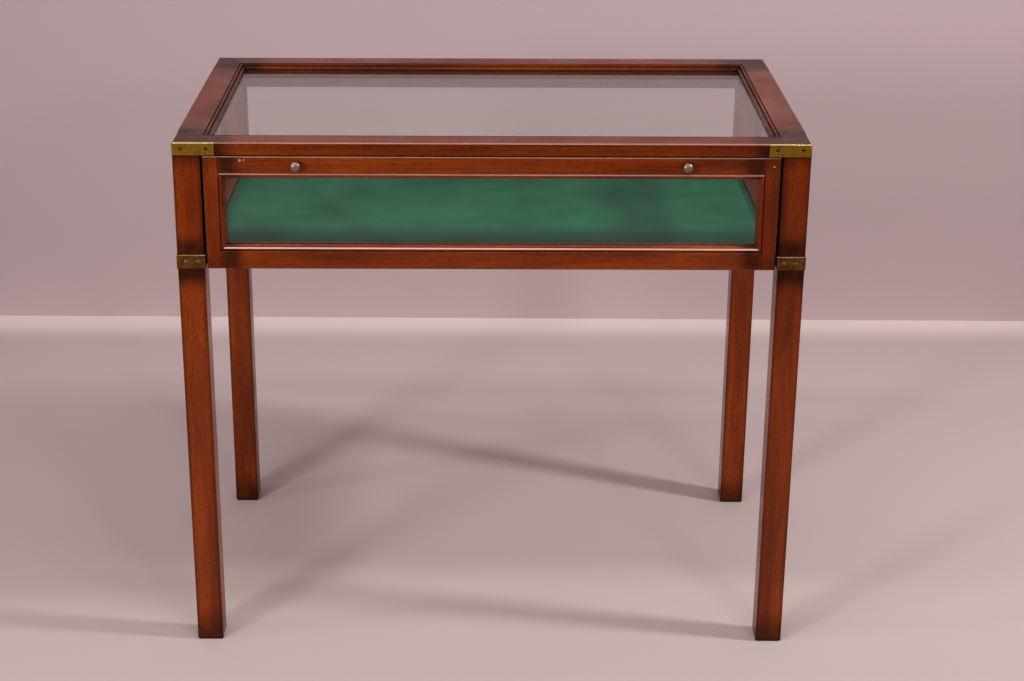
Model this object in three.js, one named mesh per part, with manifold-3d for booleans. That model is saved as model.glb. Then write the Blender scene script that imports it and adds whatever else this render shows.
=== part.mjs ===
// Glazed display table in campaign style: a shallow glass case on four square legs, with a fixed
// glazed top, a glazed drop front, brass corner brackets and brass leg straps.
// Millimetres, +X right, +Y back, +Z up. The origin is on the floor, at the middle of the whole
// object's bounding box, knobs included.

import * as THREE from 'three';
import { mergeVertices } from 'three/addons/utils/BufferGeometryUtils.js';
import Module from 'manifold-3d';

const wasm = await Module();
wasm.setup();

// ---------------------------------------------------------------- driving dimensions

const TABLE_W = 796;
const TABLE_D = 473;
const TABLE_H = 700;

const JOINT = 0.1;            // hairline between fitted wooden pieces
const GLASS_T = 3;
const ARRIS = 1.5;            // softened edge of the polished wood

const TOP_T = 16.3;           // thickness of the top frame
const TOP_FLAT = 34.5;         // flat band from the outer edge to the moulding
const TOP_SIGHT = 43.5;        // outer edge to the visible glass
const TOP_REBATE = 36.5;       // outer edge to the wall of the glass rebate
const GLASS_DROP = 8;         // top surface down to the glass

const LEG = 34.5;
const LEG_INSET_X = 0.3;      // legs stand this far inside the top's ends
const LEG_INSET_Y = 0.5;      // and this far inside its front and back
const FOOT_EASE = 2.8;        // rounding round the bottom of each leg

const CASE_BOTTOM = 534.8;
const LOWER_RAIL_H = 20;
const UPPER_RAIL_H = 16.5;
const BACK_RAIL_T = 20;
const BASE_RAIL_T = 14;
const BASE_RAIL_H = 16;
const TENON_L = 10;
const GROOVE = 4;             // depth of the glass grooves in legs and rails

const FLOOR_T = 6;
const FLOOR_LIFT = 3;         // case underside to floor panel
const FLOOR_TONGUE = 6;       // how far the floor panel reaches into the rails
const LINING_T = 3.9;

const DOOR_T = 20;
const DOOR_SIDE_GAP = 3.2;
const DOOR_TOP_GAP = 1.5;
const DOOR_STILE = 18;        // flat width of the stiles
const DOOR_TOP_RAIL = 21.2;    // flat width of the top rail
const DOOR_BOTTOM_RAIL = 23.3;
const MOULD = 8;              // width of the moulding stuck on the door frame
const DOOR_GLASS_DEPTH = 8;   // door face back to the glass
const DOOR_REBATE = 1.5;      // moulding's outer edge to the rebate wall
const DOOR_ARRIS = 2;
const DOOR_BACK_GAP = 0.5;    // closed door to the base rail

const BEAD = 6;               // width of the loose glazing beads

const KNOB_X = 244;
const KNOB_Z = 671.5;
const KNOB_R = 6.6;
const KNOB_L = 12;
const KNOB_HOLE_R = 2.2;
const SCREW_SINK_R = 3.6;      // recess for the knob screw's head
const SCREW_SINK_L = 2.6;

const HINGE_X = 250;
const HINGE_W = 38;
const HINGE_LEAF_H = 14;
const HINGE_LEAF_T = 1.2;
const KNUCKLE_R = 2.6;
const PIN_R = 1.4;
const PIN_CLEARANCE = 0.06;
const HINGE_DROP = 3.1;       // pivot below the case underside

const BARREL_R = 3.5;
const BARREL_L = 7.8;
const BALL_R = 2.25;
const BALL_BELOW_EDGE = 1.2;  // ball centre below the door's top edge
const STRIKE = [24, 10, 1.2];

const BRACKET_ARM = 53;
const BRACKET_T = 1.6;
const BRACKET_EASE = 1;         // softened outer upper edges
const BRACKET_SCREWS = [11, 43];
const STRAP_ARM = 34;          // along the side and back faces of the legs
const STRAP_RETURN = 12;       // on the inner faces of the front legs, beside the drop front
const STRAP_T = 1;
const STRAP_EASE = 0.5;
const STRAP_H = 18;
const STRAP_SCREWS = [12, 27.5];

// ---------------------------------------------------------------- derived places

const TOP_UNDER = TABLE_H - TOP_T;
const LEG_X = TABLE_W / 2 - LEG_INSET_X - LEG / 2;
const LEG_Y = TABLE_D / 2 - LEG_INSET_Y - LEG / 2;
const INNER_X = LEG_X - LEG / 2;
const INNER_Y = LEG_Y - LEG / 2;
const OUTER_X = LEG_X + LEG / 2;
const OUTER_Y = LEG_Y + LEG / 2;
const UPPER_RAIL_Z = TOP_UNDER - UPPER_RAIL_H;
const LOWER_RAIL_TOP = CASE_BOTTOM + LOWER_RAIL_H;
const SIDE_PANE_X = OUTER_X - 7.2;    // middle of the side panes
const BACK_PANE_Y = OUTER_Y - 12;     // middle of the back pane
const PANE_Z = [LOWER_RAIL_TOP - GROOVE + JOINT, UPPER_RAIL_Z + GROOVE - JOINT];
const FLOOR_Z = CASE_BOTTOM + FLOOR_LIFT;
const DOOR_FRONT = -OUTER_Y;
const DOOR_HALF = INNER_X - DOOR_SIDE_GAP;
const DOOR_H = TOP_UNDER - DOOR_TOP_GAP - CASE_BOTTOM;
const BASE_RAIL_FRONT = DOOR_FRONT + DOOR_T + DOOR_BACK_GAP;
const STRAP_STANDOFF = STRAP_T + JOINT;
const CENTRING = (OUTER_Y + JOINT + KNOB_L - (OUTER_Y + STRAP_STANDOFF)) / 2;

// Tenons on the lower and upper rails, clear of the glass grooves, and on the base rail.
const SIDE_TENONS = [
  [CASE_BOTTOM + 4, LOWER_RAIL_TOP - GROOVE - 1],
  [UPPER_RAIL_Z + GROOVE + 1, TOP_UNDER - 3],
];
const BACK_TENON_Y = [OUTER_Y - 9, OUTER_Y - 3];
const BASE_TENON_Y = [BASE_RAIL_FRONT + 3, BASE_RAIL_FRONT + 9];
const BASE_TENON_Z = [CASE_BOTTOM + 9.5, CASE_BOTTOM + BASE_RAIL_H - 2];

// ---------------------------------------------------------------- materials

function finish(color, roughness, metalness = 0, opacity = 1) {
  return new THREE.MeshStandardMaterial({ color, roughness, metalness, opacity, transparent: opacity < 1 });
}

const WOOD = () => finish(0x6e2a18, 0.32);
const PINE = () => finish(0x8a5a3a, 0.7);
const BRASS = () => finish(0xa8842c, 0.35, 1);
const OLD_BRASS = () => finish(0x6b5426, 0.45, 1);
const BRONZE = () => finish(0x4a3324, 0.35, 1);
const STEEL = () => finish(0x9a9a9c, 0.3, 1);
const GLASS = () => finish(0xdfe8e4, 0.03, 0, 0.25);
const BAIZE = () => finish(0x0f5a3c, 0.95);

// ---------------------------------------------------------------- solid helpers

function toSolid(geometry) {
  const bare = geometry.clone();
  bare.deleteAttribute('normal');
  bare.deleteAttribute('uv');
  const merged = mergeVertices(bare, 1e-4);
  const mesh = new wasm.Mesh({
    numProp: 3,
    vertProperties: merged.attributes.position.array,
    triVerts: new Uint32Array(merged.index.array),
  });
  return new wasm.Manifold(mesh);
}

function toGeometry(solid) {
  const mesh = solid.getMesh();
  const geometry = new THREE.BufferGeometry();
  geometry.setAttribute('position', new THREE.BufferAttribute(mesh.vertProperties, 3));
  geometry.setIndex(new THREE.BufferAttribute(mesh.triVerts, 1));
  geometry.computeVertexNormals();
  return geometry;
}

function cut(geometry, ...tools) {
  return toGeometry(tools.reduce((solid, tool) => solid.subtract(toSolid(tool)), toSolid(geometry)));
}

function join(geometry, ...others) {
  return toGeometry(others.reduce((solid, other) => solid.add(toSolid(other)), toSolid(geometry)));
}

function common(geometry, other) {
  return toGeometry(toSolid(geometry).intersect(toSolid(other)));
}

// A box between two opposite corners, given in any order.
function boxBetween(a, b) {
  const size = a.map((value, k) => Math.abs(b[k] - value));
  const middle = a.map((value, k) => (b[k] + value) / 2);
  return new THREE.BoxGeometry(...size).translate(...middle);
}

function grown(a, b, by) {
  const low = a.map((value, k) => Math.min(value, b[k]) - by);
  const high = a.map((value, k) => Math.max(value, b[k]) + by);
  return boxBetween(low, high);
}

// A rectangle from (0, 0) to (w, h) with its four corners rounded.
function roundedRect(w, h, r) {
  const shape = new THREE.Shape();
  shape.moveTo(r, 0);
  shape.lineTo(w - r, 0);
  shape.absarc(w - r, r, r, -Math.PI / 2, 0);
  shape.lineTo(w, h - r);
  shape.absarc(w - r, h - r, r, 0, Math.PI / 2);
  shape.lineTo(r, h);
  shape.absarc(r, h - r, r, Math.PI / 2, Math.PI);
  shape.lineTo(0, r);
  shape.absarc(r, r, r, Math.PI, 1.5 * Math.PI);
  return shape;
}

function extrude(shape, depth, curveSegments = 2) {
  return new THREE.ExtrudeGeometry(shape, { depth, curveSegments, bevelEnabled: false });
}

// Moves each end of an extrusion along its length by a function of the section's first coordinate.
function shapeEnds(geometry, startAt, endAt) {
  const position = geometry.attributes.position;
  const middle = (startAt(0) + endAt(0)) / 2;
  for (let i = 0; i < position.count; i += 1) {
    const u = position.getX(i);
    position.setZ(i, position.getZ(i) < middle ? startAt(u) : endAt(u));
  }
  return geometry;
}

function cylinder(radius, length, segments = 16, topRadius = radius) {
  return new THREE.CylinderGeometry(topRadius, radius, length, segments);
}

function piece(name, geometry, material) {
  const mesh = new THREE.Mesh(geometry, material);
  mesh.name = name;
  return mesh;
}

// A rectangular ring of bead, lying in the XY plane with its lower face at z = 0.
function beadRing(w, h, width, thickness) {
  const outline = new THREE.Shape();
  outline.moveTo(-w / 2, -h / 2);
  outline.lineTo(w / 2, -h / 2);
  outline.lineTo(w / 2, h / 2);
  outline.lineTo(-w / 2, h / 2);
  const hole = new THREE.Path();
  hole.moveTo(-w / 2 + width, -h / 2 + width);
  hole.lineTo(-w / 2 + width, h / 2 - width);
  hole.lineTo(w / 2 - width, h / 2 - width);
  hole.lineTo(w / 2 - width, -h / 2 + width);
  outline.holes.push(hole);
  return extrude(outline, thickness);
}

// ---------------------------------------------------------------- top frame

// Section across a top rail: u runs in from the outer edge, v up from the floor. The inner edge is
// a quirked bead, a groove and an ovolo that falls to the glass.
function topRailSection() {
  const glassTop = TABLE_H - GLASS_DROP;
  const beadR = 1.7;
  const beadU = TOP_FLAT + 2.8;
  const beadV = TABLE_H - beadR - 0.2;
  const ovoloU = TOP_SIGHT - 3.4;
  const ovoloV = glassTop + 0.8;
  const ovoloRise = 3.6;
  const shape = new THREE.Shape();
  shape.moveTo(TOP_REBATE, TOP_UNDER);
  shape.lineTo(TOP_REBATE, glassTop);
  shape.lineTo(TOP_SIGHT, glassTop);
  shape.lineTo(TOP_SIGHT, ovoloV);
  shape.absellipse(ovoloU, ovoloV, TOP_SIGHT - ovoloU, ovoloRise, 0, Math.PI / 2);
  shape.lineTo(ovoloU - 0.4, ovoloV + ovoloRise - 1);
  shape.lineTo(beadU + beadR, ovoloV + ovoloRise - 1);
  shape.lineTo(beadU + beadR, beadV);
  shape.absarc(beadU, beadV, beadR, 0, Math.PI);
  shape.lineTo(beadU - beadR, TABLE_H - 2.8);
  shape.lineTo(TOP_FLAT + 0.4, TABLE_H - 2.8);
  shape.lineTo(TOP_FLAT + 0.4, TABLE_H - 0.4);
  shape.lineTo(TOP_FLAT, TABLE_H);
  shape.lineTo(ARRIS, TABLE_H);
  shape.absarc(ARRIS, TABLE_H - ARRIS, ARRIS, Math.PI / 2, Math.PI);
  shape.lineTo(0, TOP_UNDER + ARRIS);
  shape.absarc(ARRIS, TOP_UNDER + ARRIS, ARRIS, Math.PI, 1.5 * Math.PI);
  return shape;
}

// A mitred rail whose outer face lies on y = 0 and whose length runs along X.
function topRail(length) {
  const end = (u) => length / 2 - u - JOINT / 2;
  const bar = shapeEnds(extrude(topRailSection(), 1, 3).translate(0, 0, -0.5), (u) => -end(u), end);
  bar.rotateX(Math.PI / 2).rotateZ(Math.PI / 2);
  const recess = (side) => boxBetween(
    [side * (length / 2 + 1), -1, TOP_UNDER - 1],
    [side * (length / 2 - BRACKET_ARM - JOINT), BRACKET_T + JOINT, TABLE_H + 1],
  );
  return cut(bar, recess(-1), recess(1));
}

function topFrame() {
  const group = new THREE.Group();
  const strikePocket = (side) => boxBetween(
    [side * KNOB_X - STRIKE[0] / 2 - JOINT, DOOR_T / 2 + LEG_INSET_Y - STRIKE[1] / 2 - JOINT, TOP_UNDER - 1],
    [side * KNOB_X + STRIKE[0] / 2 + JOINT, DOOR_T / 2 + LEG_INSET_Y + STRIKE[1] / 2 + JOINT,
      TOP_UNDER + STRIKE[2] + JOINT],
  );
  const front = piece('top_rail_front', cut(topRail(TABLE_W), strikePocket(-1), strikePocket(1)), WOOD());
  front.position.y = -TABLE_D / 2;
  const back = piece('top_rail_back', topRail(TABLE_W), WOOD());
  back.rotation.z = Math.PI;
  back.position.y = TABLE_D / 2;
  const left = piece('top_rail_left', topRail(TABLE_D), WOOD());
  left.rotation.z = -Math.PI / 2;
  left.position.x = -TABLE_W / 2;
  const right = piece('top_rail_right', topRail(TABLE_D), WOOD());
  right.rotation.z = Math.PI / 2;
  right.position.x = TABLE_W / 2;

  const paneW = TABLE_W - 2 * TOP_REBATE - 2;
  const paneD = TABLE_D - 2 * TOP_REBATE - 2;
  const pane = piece('top_glass', new THREE.BoxGeometry(paneW, paneD, GLASS_T), GLASS());
  pane.position.z = TABLE_H - GLASS_DROP - JOINT - GLASS_T / 2;

  const ringW = TABLE_W - 2 * TOP_REBATE - 2 * JOINT;
  const ringD = TABLE_D - 2 * TOP_REBATE - 2 * JOINT;
  const ringT = TOP_T - GLASS_DROP - GLASS_T - 3 * JOINT;
  const ring = piece('top_glazing_bead', beadRing(ringW, ringD, TOP_SIGHT - TOP_REBATE, ringT), WOOD());
  ring.position.z = TOP_UNDER;

  group.add(front, back, left, right, pane, ring);
  return group;
}

// Brass plate with a hole for the catch ball and two screw holes, let into the top frame's underside.
function strikePlate(name) {
  const shape = roundedRect(STRIKE[0], STRIKE[1], 1);
  [[STRIKE[0] / 2, 1.6], [3.2, 1.1], [STRIKE[0] - 3.2, 1.1]].forEach(([x, r]) => {
    const hole = new THREE.Path();
    hole.absarc(x, STRIKE[1] / 2, r, 0, 2 * Math.PI, true);
    shape.holes.push(hole);
  });
  const plate = extrude(shape, STRIKE[2], 5).translate(-STRIKE[0] / 2, -STRIKE[1] / 2, 0);
  return piece(name, plate, BRASS());
}

// ---------------------------------------------------------------- legs and case rails

// A square post with softened arrises, standing on a foot that is rounded over all round.
function post(height) {
  const outline = [];
  for (let corner = 0; corner < 4; corner += 1) {
    const middle = (corner + 0.5) * (Math.PI / 2);
    for (let step = 0; step <= 2; step += 1) {
      const angle = (corner + step / 2) * (Math.PI / 2);
      outline.push([
        Math.sign(Math.cos(middle)) * (LEG / 2 - ARRIS) + ARRIS * Math.cos(angle),
        Math.sign(Math.sin(middle)) * (LEG / 2 - ARRIS) + ARRIS * Math.sin(angle),
      ]);
    }
  }
  const rings = [0, 1, 2, 3].map((step) => {
    const angle = (step / 3) * (Math.PI / 2);
    return [1 - (FOOT_EASE * (1 - Math.sin(angle))) / (LEG / 2), FOOT_EASE * (1 - Math.cos(angle))];
  });
  rings.push([1, height]);
  const count = outline.length;
  const points = rings.flatMap(([scale, z]) => outline.flatMap(([x, y]) => [x * scale, y * scale, z]));
  const faces = [];
  for (let k = 0; k < count; k += 1) {
    const after = (k + 1) % count;
    for (let ring = 0; ring + 1 < rings.length; ring += 1) {
      const low = ring * count;
      const high = low + count;
      faces.push(low + k, low + after, high + after, low + k, high + after, high + k);
    }
    if (k > 0 && after > 0) {
      const top = (rings.length - 1) * count;
      faces.push(0, after, k, top, top + k, top + after);
    }
  }
  const geometry = new THREE.BufferGeometry();
  geometry.setAttribute('position', new THREE.Float32BufferAttribute(points, 3));
  geometry.setIndex(faces);
  return geometry;
}

// One leg about its own axis. sx and sy say which corner of the table it stands at.
function leg(sx, sy) {
  const inward = -LEG / 2;
  const cuts = [];
  const sideMortise = (z0, z1) => grown(
    [-4, sy * (inward + TENON_L), z0],
    [4, sy * (inward - 1), z1],
    JOINT,
  );
  const crossMortise = (y0, y1, z0, z1) => grown(
    [sx * (inward + TENON_L), y0, z0],
    [sx * (inward - 1), y1, z1],
    JOINT,
  );
  SIDE_TENONS.forEach(([z0, z1]) => cuts.push(sideMortise(z0, z1)));
  const paneX = sx * (SIDE_PANE_X - LEG_X);
  cuts.push(grown(
    [paneX - GLASS_T / 2, sy * (inward + GROOVE), PANE_Z[0]],
    [paneX + GLASS_T / 2, sy * (inward - 1), PANE_Z[1]],
    JOINT,
  ));
  if (sy > 0) {
    const [y0, y1] = BACK_TENON_Y.map((y) => y - LEG_Y);
    SIDE_TENONS.forEach(([z0, z1]) => cuts.push(crossMortise(y0, y1, z0, z1)));
    const paneY = BACK_PANE_Y - LEG_Y;
    cuts.push(grown(
      [sx * (inward + GROOVE), paneY - GLASS_T / 2, PANE_Z[0]],
      [sx * (inward - 1), paneY + GLASS_T / 2, PANE_Z[1]],
      JOINT,
    ));
  } else {
    const [y0, y1] = BASE_TENON_Y.map((y) => y + LEG_Y);
    cuts.push(crossMortise(y0, y1, ...BASE_TENON_Z));
  }
  return cut(post(TOP_UNDER - JOINT), ...cuts);
}

// The floor panel's outline: a rectangle with tongues into the four lower rails.
function floorPanel(grow) {
  const x = INNER_X - JOINT;
  const y = INNER_Y - JOINT;
  const front = BASE_RAIL_FRONT + BASE_RAIL_T - FLOOR_TONGUE - grow;
  const back = OUTER_Y - BACK_RAIL_T + FLOOR_TONGUE + grow;
  const low = [-x, front, FLOOR_Z - grow];
  const high = [x, back, FLOOR_Z + FLOOR_T + grow];
  const wide = INNER_X + FLOOR_TONGUE + grow;
  return join(
    boxBetween(low, high),
    boxBetween([-wide, -y, FLOOR_Z - grow], [wide, y, FLOOR_Z + FLOOR_T + grow]),
  );
}

// A side rail, with its tenons, in the table's frame.
function sideRail(sx, z0, height, tenon) {
  const length = 2 * (INNER_Y - JOINT);
  const bar = extrude(roundedRect(LEG, height, 0.8), length, 1);
  bar.rotateX(Math.PI / 2).translate(-LEG / 2, length / 2, z0);
  const tongue = boxBetween(
    [-4, -length / 2 - TENON_L, tenon[0]],
    [4, length / 2 + TENON_L, tenon[1]],
  );
  const grooveZ = z0 === CASE_BOTTOM ? [PANE_Z[0], PANE_Z[0] + 2 * GROOVE] : [PANE_Z[1] - 2 * GROOVE, PANE_Z[1]];
  const paneX = sx * (SIDE_PANE_X - LEG_X);
  const groove = grown(
    [paneX - GLASS_T / 2, -length, grooveZ[0]],
    [paneX + GLASS_T / 2, length, grooveZ[1]],
    JOINT,
  );
  const rail = cut(join(bar, tongue), groove);
  rail.translate(sx * LEG_X, 0, 0);
  return z0 === CASE_BOTTOM ? cut(rail, floorPanel(JOINT)) : rail;
}

// A back rail, with its tenons, in the table's frame.
function backRail(z0, height, tenon) {
  const length = 2 * (INNER_X - JOINT);
  const bar = extrude(roundedRect(BACK_RAIL_T, height, 0.8), length, 1);
  bar.rotateX(Math.PI / 2).rotateZ(Math.PI / 2).translate(-length / 2, OUTER_Y - BACK_RAIL_T, z0);
  const tongue = boxBetween(
    [-length / 2 - TENON_L, BACK_TENON_Y[0], tenon[0]],
    [length / 2 + TENON_L, BACK_TENON_Y[1], tenon[1]],
  );
  const grooveZ = z0 === CASE_BOTTOM ? [PANE_Z[0], PANE_Z[0] + 2 * GROOVE] : [PANE_Z[1] - 2 * GROOVE, PANE_Z[1]];
  const groove = grown(
    [-length, BACK_PANE_Y - GLASS_T / 2, grooveZ[0]],
    [length, BACK_PANE_Y + GLASS_T / 2, grooveZ[1]],
    JOINT,
  );
  const rail = cut(join(bar, tongue), groove);
  return z0 === CASE_BOTTOM ? cut(rail, floorPanel(JOINT)) : rail;
}

// The rail behind the closed drop front, recessed for the fixed hinge leaves.
function baseRail() {
  const x = INNER_X - JOINT;
  const bar = boxBetween(
    [-x, BASE_RAIL_FRONT, CASE_BOTTOM],
    [x, BASE_RAIL_FRONT + BASE_RAIL_T, CASE_BOTTOM + BASE_RAIL_H],
  );
  const tongue = boxBetween(
    [-x - TENON_L, BASE_TENON_Y[0], BASE_TENON_Z[0]],
    [x + TENON_L, BASE_TENON_Y[1], BASE_TENON_Z[1]],
  );
  const recess = (side) => boxBetween(
    [side * HINGE_X - HINGE_W / 2 - JOINT, BASE_RAIL_FRONT - 1, CASE_BOTTOM - 1],
    [side * HINGE_X + HINGE_W / 2 + JOINT, BASE_RAIL_FRONT + HINGE_LEAF_T + 2 * JOINT,
      CASE_BOTTOM + HINGE_LEAF_H + JOINT],
  );
  return cut(join(bar, tongue), floorPanel(JOINT), recess(-1), recess(1));
}

function caseFrame() {
  const group = new THREE.Group();
  [['front', -1], ['back', 1]].forEach(([depthName, sy]) => {
    [['left', -1], ['right', 1]].forEach(([sideName, sx]) => {
      const post = piece(`leg_${depthName}_${sideName}`, leg(sx, sy), WOOD());
      post.position.set(sx * LEG_X, sy * LEG_Y, 0);
      group.add(post);
    });
  });
  const upperH = UPPER_RAIL_H - JOINT;
  [['left', -1], ['right', 1]].forEach(([side, sx]) => {
    const lower = sideRail(sx, CASE_BOTTOM, LOWER_RAIL_H, SIDE_TENONS[0]);
    const upper = sideRail(sx, UPPER_RAIL_Z, upperH, SIDE_TENONS[1]);
    const pane = piece(
      `side_glass_${side}`,
      new THREE.BoxGeometry(GLASS_T, 2 * (INNER_Y + GROOVE - 2 * JOINT), PANE_Z[1] - PANE_Z[0] - 2 * JOINT),
      GLASS(),
    );
    pane.position.set(sx * SIDE_PANE_X, 0, (PANE_Z[0] + PANE_Z[1]) / 2);
    group.add(piece(`side_lower_rail_${side}`, lower, WOOD()));
    group.add(piece(`side_upper_rail_${side}`, upper, WOOD()));
    group.add(pane);
  });

  group.add(piece('back_lower_rail', backRail(CASE_BOTTOM, LOWER_RAIL_H, SIDE_TENONS[0]), WOOD()));
  group.add(piece('back_upper_rail', backRail(UPPER_RAIL_Z, upperH, SIDE_TENONS[1]), WOOD()));
  const backPane = piece(
    'back_glass',
    new THREE.BoxGeometry(2 * (INNER_X + GROOVE - 2 * JOINT), GLASS_T, PANE_Z[1] - PANE_Z[0] - 2 * JOINT),
    GLASS(),
  );
  backPane.position.set(0, BACK_PANE_Y, (PANE_Z[0] + PANE_Z[1]) / 2);
  group.add(backPane);
  const openingW = 2 * (INNER_X - JOINT);
  const openingH = UPPER_RAIL_Z - LOWER_RAIL_TOP - 2 * JOINT;
  const backBead = piece('back_glazing_bead', beadRing(openingW, openingH, BEAD, BEAD), WOOD());
  backBead.rotation.x = Math.PI / 2;
  backBead.position.set(0, BACK_PANE_Y - GLASS_T / 2 - JOINT, (UPPER_RAIL_Z + LOWER_RAIL_TOP) / 2);
  group.add(backBead);

  group.add(piece('front_base_rail', baseRail(), WOOD()));
  group.add(piece('floor_panel', floorPanel(0), PINE()));
  const liningZ = FLOOR_Z + FLOOR_T + JOINT;
  const lining = boxBetween(
    [-INNER_X + 3 * JOINT, BASE_RAIL_FRONT + BASE_RAIL_T + 3 * JOINT, liningZ],
    [INNER_X - 3 * JOINT, OUTER_Y - BACK_RAIL_T - 3 * JOINT, liningZ + LINING_T],
  );
  group.add(piece('baize_lining', lining, BAIZE()));
  return group;
}

// ---------------------------------------------------------------- drop front

// Plain part of a door member's section: u from the outer edge, v from the face backwards.
function doorFlatSection(flat) {
  const shape = new THREE.Shape();
  shape.moveTo(DOOR_ARRIS, 0);
  shape.lineTo(flat - 0.5, 0);
  shape.lineTo(flat, 0.5);
  shape.lineTo(flat, DOOR_T);
  shape.lineTo(0, DOOR_T);
  shape.lineTo(0, DOOR_ARRIS);
  shape.absarc(DOOR_ARRIS, DOOR_ARRIS, DOOR_ARRIS, Math.PI, 1.5 * Math.PI);
  return shape;
}

// Moulded part of the section: quirk, bold bead, ovolo, and the rebate behind for the glass.
function doorMouldSection(flat) {
  const beadR = 2.2;
  const beadU = flat + 0.6 + beadR;
  const ovoloU = beadU + beadR;
  const ovoloV = 3;
  const ovoloFall = 3.8;
  const shape = new THREE.Shape();
  shape.moveTo(flat - 1, 1.8);
  shape.lineTo(beadU - beadR, 1.8);
  shape.lineTo(beadU - beadR, beadR);
  shape.absarc(beadU, beadR, beadR, Math.PI, 2 * Math.PI);
  shape.lineTo(ovoloU, ovoloV);
  shape.absellipse(ovoloU, ovoloV + ovoloFall, flat + MOULD - ovoloU, ovoloFall, -Math.PI / 2, 0);
  shape.lineTo(flat + MOULD, DOOR_GLASS_DEPTH);
  shape.lineTo(flat + DOOR_REBATE, DOOR_GLASS_DEPTH);
  shape.lineTo(flat + DOOR_REBATE, DOOR_T);
  shape.lineTo(flat - 1, DOOR_T);
  return shape;
}

// A stile or rail of the drop front. The flat runs from a0 to a1 and the moulding is mitred between
// m0 and m1, all along the member.
function doorMember(flat, a0, a1, m0, m1) {
  const plain = extrude(doorFlatSection(flat), a1 - a0, 2).translate(0, 0, a0);
  const step = (u) => Math.max(0, u - flat);
  const mould = extrude(doorMouldSection(flat), 1, 3).translate(0, 0, (m0 + m1 - 1) / 2);
  const position = mould.attributes.position;
  for (let i = 0; i < position.count; i += 1) {
    const u = position.getX(i);
    position.setZ(i, position.getZ(i) < (m0 + m1) / 2 ? m0 + step(u) : m1 - step(u));
  }
  return join(plain, mould);
}

// The drop front's outline, with every front edge softened, used to round the stiles' ends.
function doorEnvelope() {
  const r = DOOR_ARRIS;
  const shape = new THREE.Shape();
  shape.moveTo(0, r);
  shape.absarc(r, r, r, Math.PI, 1.5 * Math.PI);
  shape.lineTo(DOOR_T + 1, 0);
  shape.lineTo(DOOR_T + 1, DOOR_H);
  shape.lineTo(r, DOOR_H);
  shape.absarc(r, DOOR_H - r, r, Math.PI / 2, Math.PI);
  const slab = extrude(shape, 2 * DOOR_HALF + 2, 2);
  return slab.rotateX(Math.PI / 2).rotateZ(Math.PI / 2).translate(-DOOR_HALF - 1, 0, 0);
}

function knobGeometry() {
  const boreR = 1.6;
  const profile = new THREE.Path();
  profile.moveTo(0, 7);
  profile.lineTo(boreR, 7);
  profile.lineTo(boreR, 0);
  profile.lineTo(4.4, 0);
  profile.lineTo(4.6, 0.8);
  profile.quadraticCurveTo(2.6, 1.4, 2.7, 3.4);
  profile.quadraticCurveTo(2.9, 4.9, 5.8, 5.2);
  profile.quadraticCurveTo(KNOB_R + 0.1, 5.9, KNOB_R, 7.2);
  profile.quadraticCurveTo(6.2, 11.6, 0, KNOB_L);
  return new THREE.LatheGeometry(profile.getPoints(4), 20).rotateX(Math.PI);
}

function knobScrewGeometry() {
  const points = [
    [0, 0], [3.4, 0], [3.4, 1], [1.5, 2.4], [1.5, DOOR_T + 5], [0, DOOR_T + 5],
  ].map(([r, y]) => new THREE.Vector2(r, y));
  return new THREE.LatheGeometry(points, 12).rotateX(Math.PI);
}

// A straight butt-hinge leaf with its share of the knuckles. turn is +1 for the fixed leaf, whose
// plate lies behind the pivot, and -1 for the moving leaf. The pivot is the origin, along X.
function hingeLeaf(turn, knuckles) {
  const plateBottom = HINGE_DROP - 0.2;
  const y0 = turn * 0.2;
  const y1 = turn * (0.2 + HINGE_LEAF_T);
  const plate = boxBetween(
    [-HINGE_W / 2, y0, plateBottom],
    [HINGE_W / 2, y1, HINGE_DROP + HINGE_LEAF_H],
  );
  const tubes = knuckles.flatMap(([x0, x1]) => {
    const tube = cylinder(KNUCKLE_R, x1 - x0).rotateZ(Math.PI / 2).translate((x0 + x1) / 2, 0, 0);
    return [tube, boxBetween([x0, y0, 1.75], [x1, y1, plateBottom + 0.2])];
  });
  const bore = cylinder(PIN_R + PIN_CLEARANCE, HINGE_W + 2).rotateZ(Math.PI / 2);
  return cut(join(plate, ...tubes), bore);
}

function hingePin() {
  return cylinder(PIN_R, HINGE_W).rotateZ(Math.PI / 2);
}

const KNUCKLE_THIRD = HINGE_W / 3;
const FIXED_KNUCKLES = [[-KNUCKLE_THIRD / 2 + 0.15, KNUCKLE_THIRD / 2 - 0.15]];
const MOVING_KNUCKLES = [
  [-HINGE_W / 2, -KNUCKLE_THIRD / 2 - 0.15],
  [KNUCKLE_THIRD / 2 + 0.15, HINGE_W / 2],
];

// Brass cup of a ball catch, open at the top where it narrows to keep the ball in. Its top is z = 0.
function catchBarrel() {
  const profile = [
    [0, -BARREL_L], [BARREL_R, -BARREL_L], [BARREL_R, 0], [2.21, 0], [2.45, -0.8],
    [2.45, -BARREL_L + 0.8], [0, -BARREL_L + 0.8],
  ].map(([r, y]) => new THREE.Vector2(r, y));
  return new THREE.LatheGeometry(profile, 16).rotateX(Math.PI / 2);
}

class Helix extends THREE.Curve {
  constructor(radius, pitch, turns) {
    super();
    Object.assign(this, { radius, pitch, turns });
  }

  getPoint(t, target = new THREE.Vector3()) {
    const angle = 2 * Math.PI * this.turns * t;
    return target.set(this.radius * Math.cos(angle), this.radius * Math.sin(angle), this.pitch * this.turns * t);
  }
}

function catchSpring() {
  const wire = new THREE.Shape();
  wire.absarc(0, 0, 0.3, 0, 2 * Math.PI);
  const turns = 3;
  return new THREE.ExtrudeGeometry(wire, {
    extrudePath: new Helix(1.5, 1, turns),
    steps: turns * 12,
    curveSegments: 3,
    bevelEnabled: false,
  });
}

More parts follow.
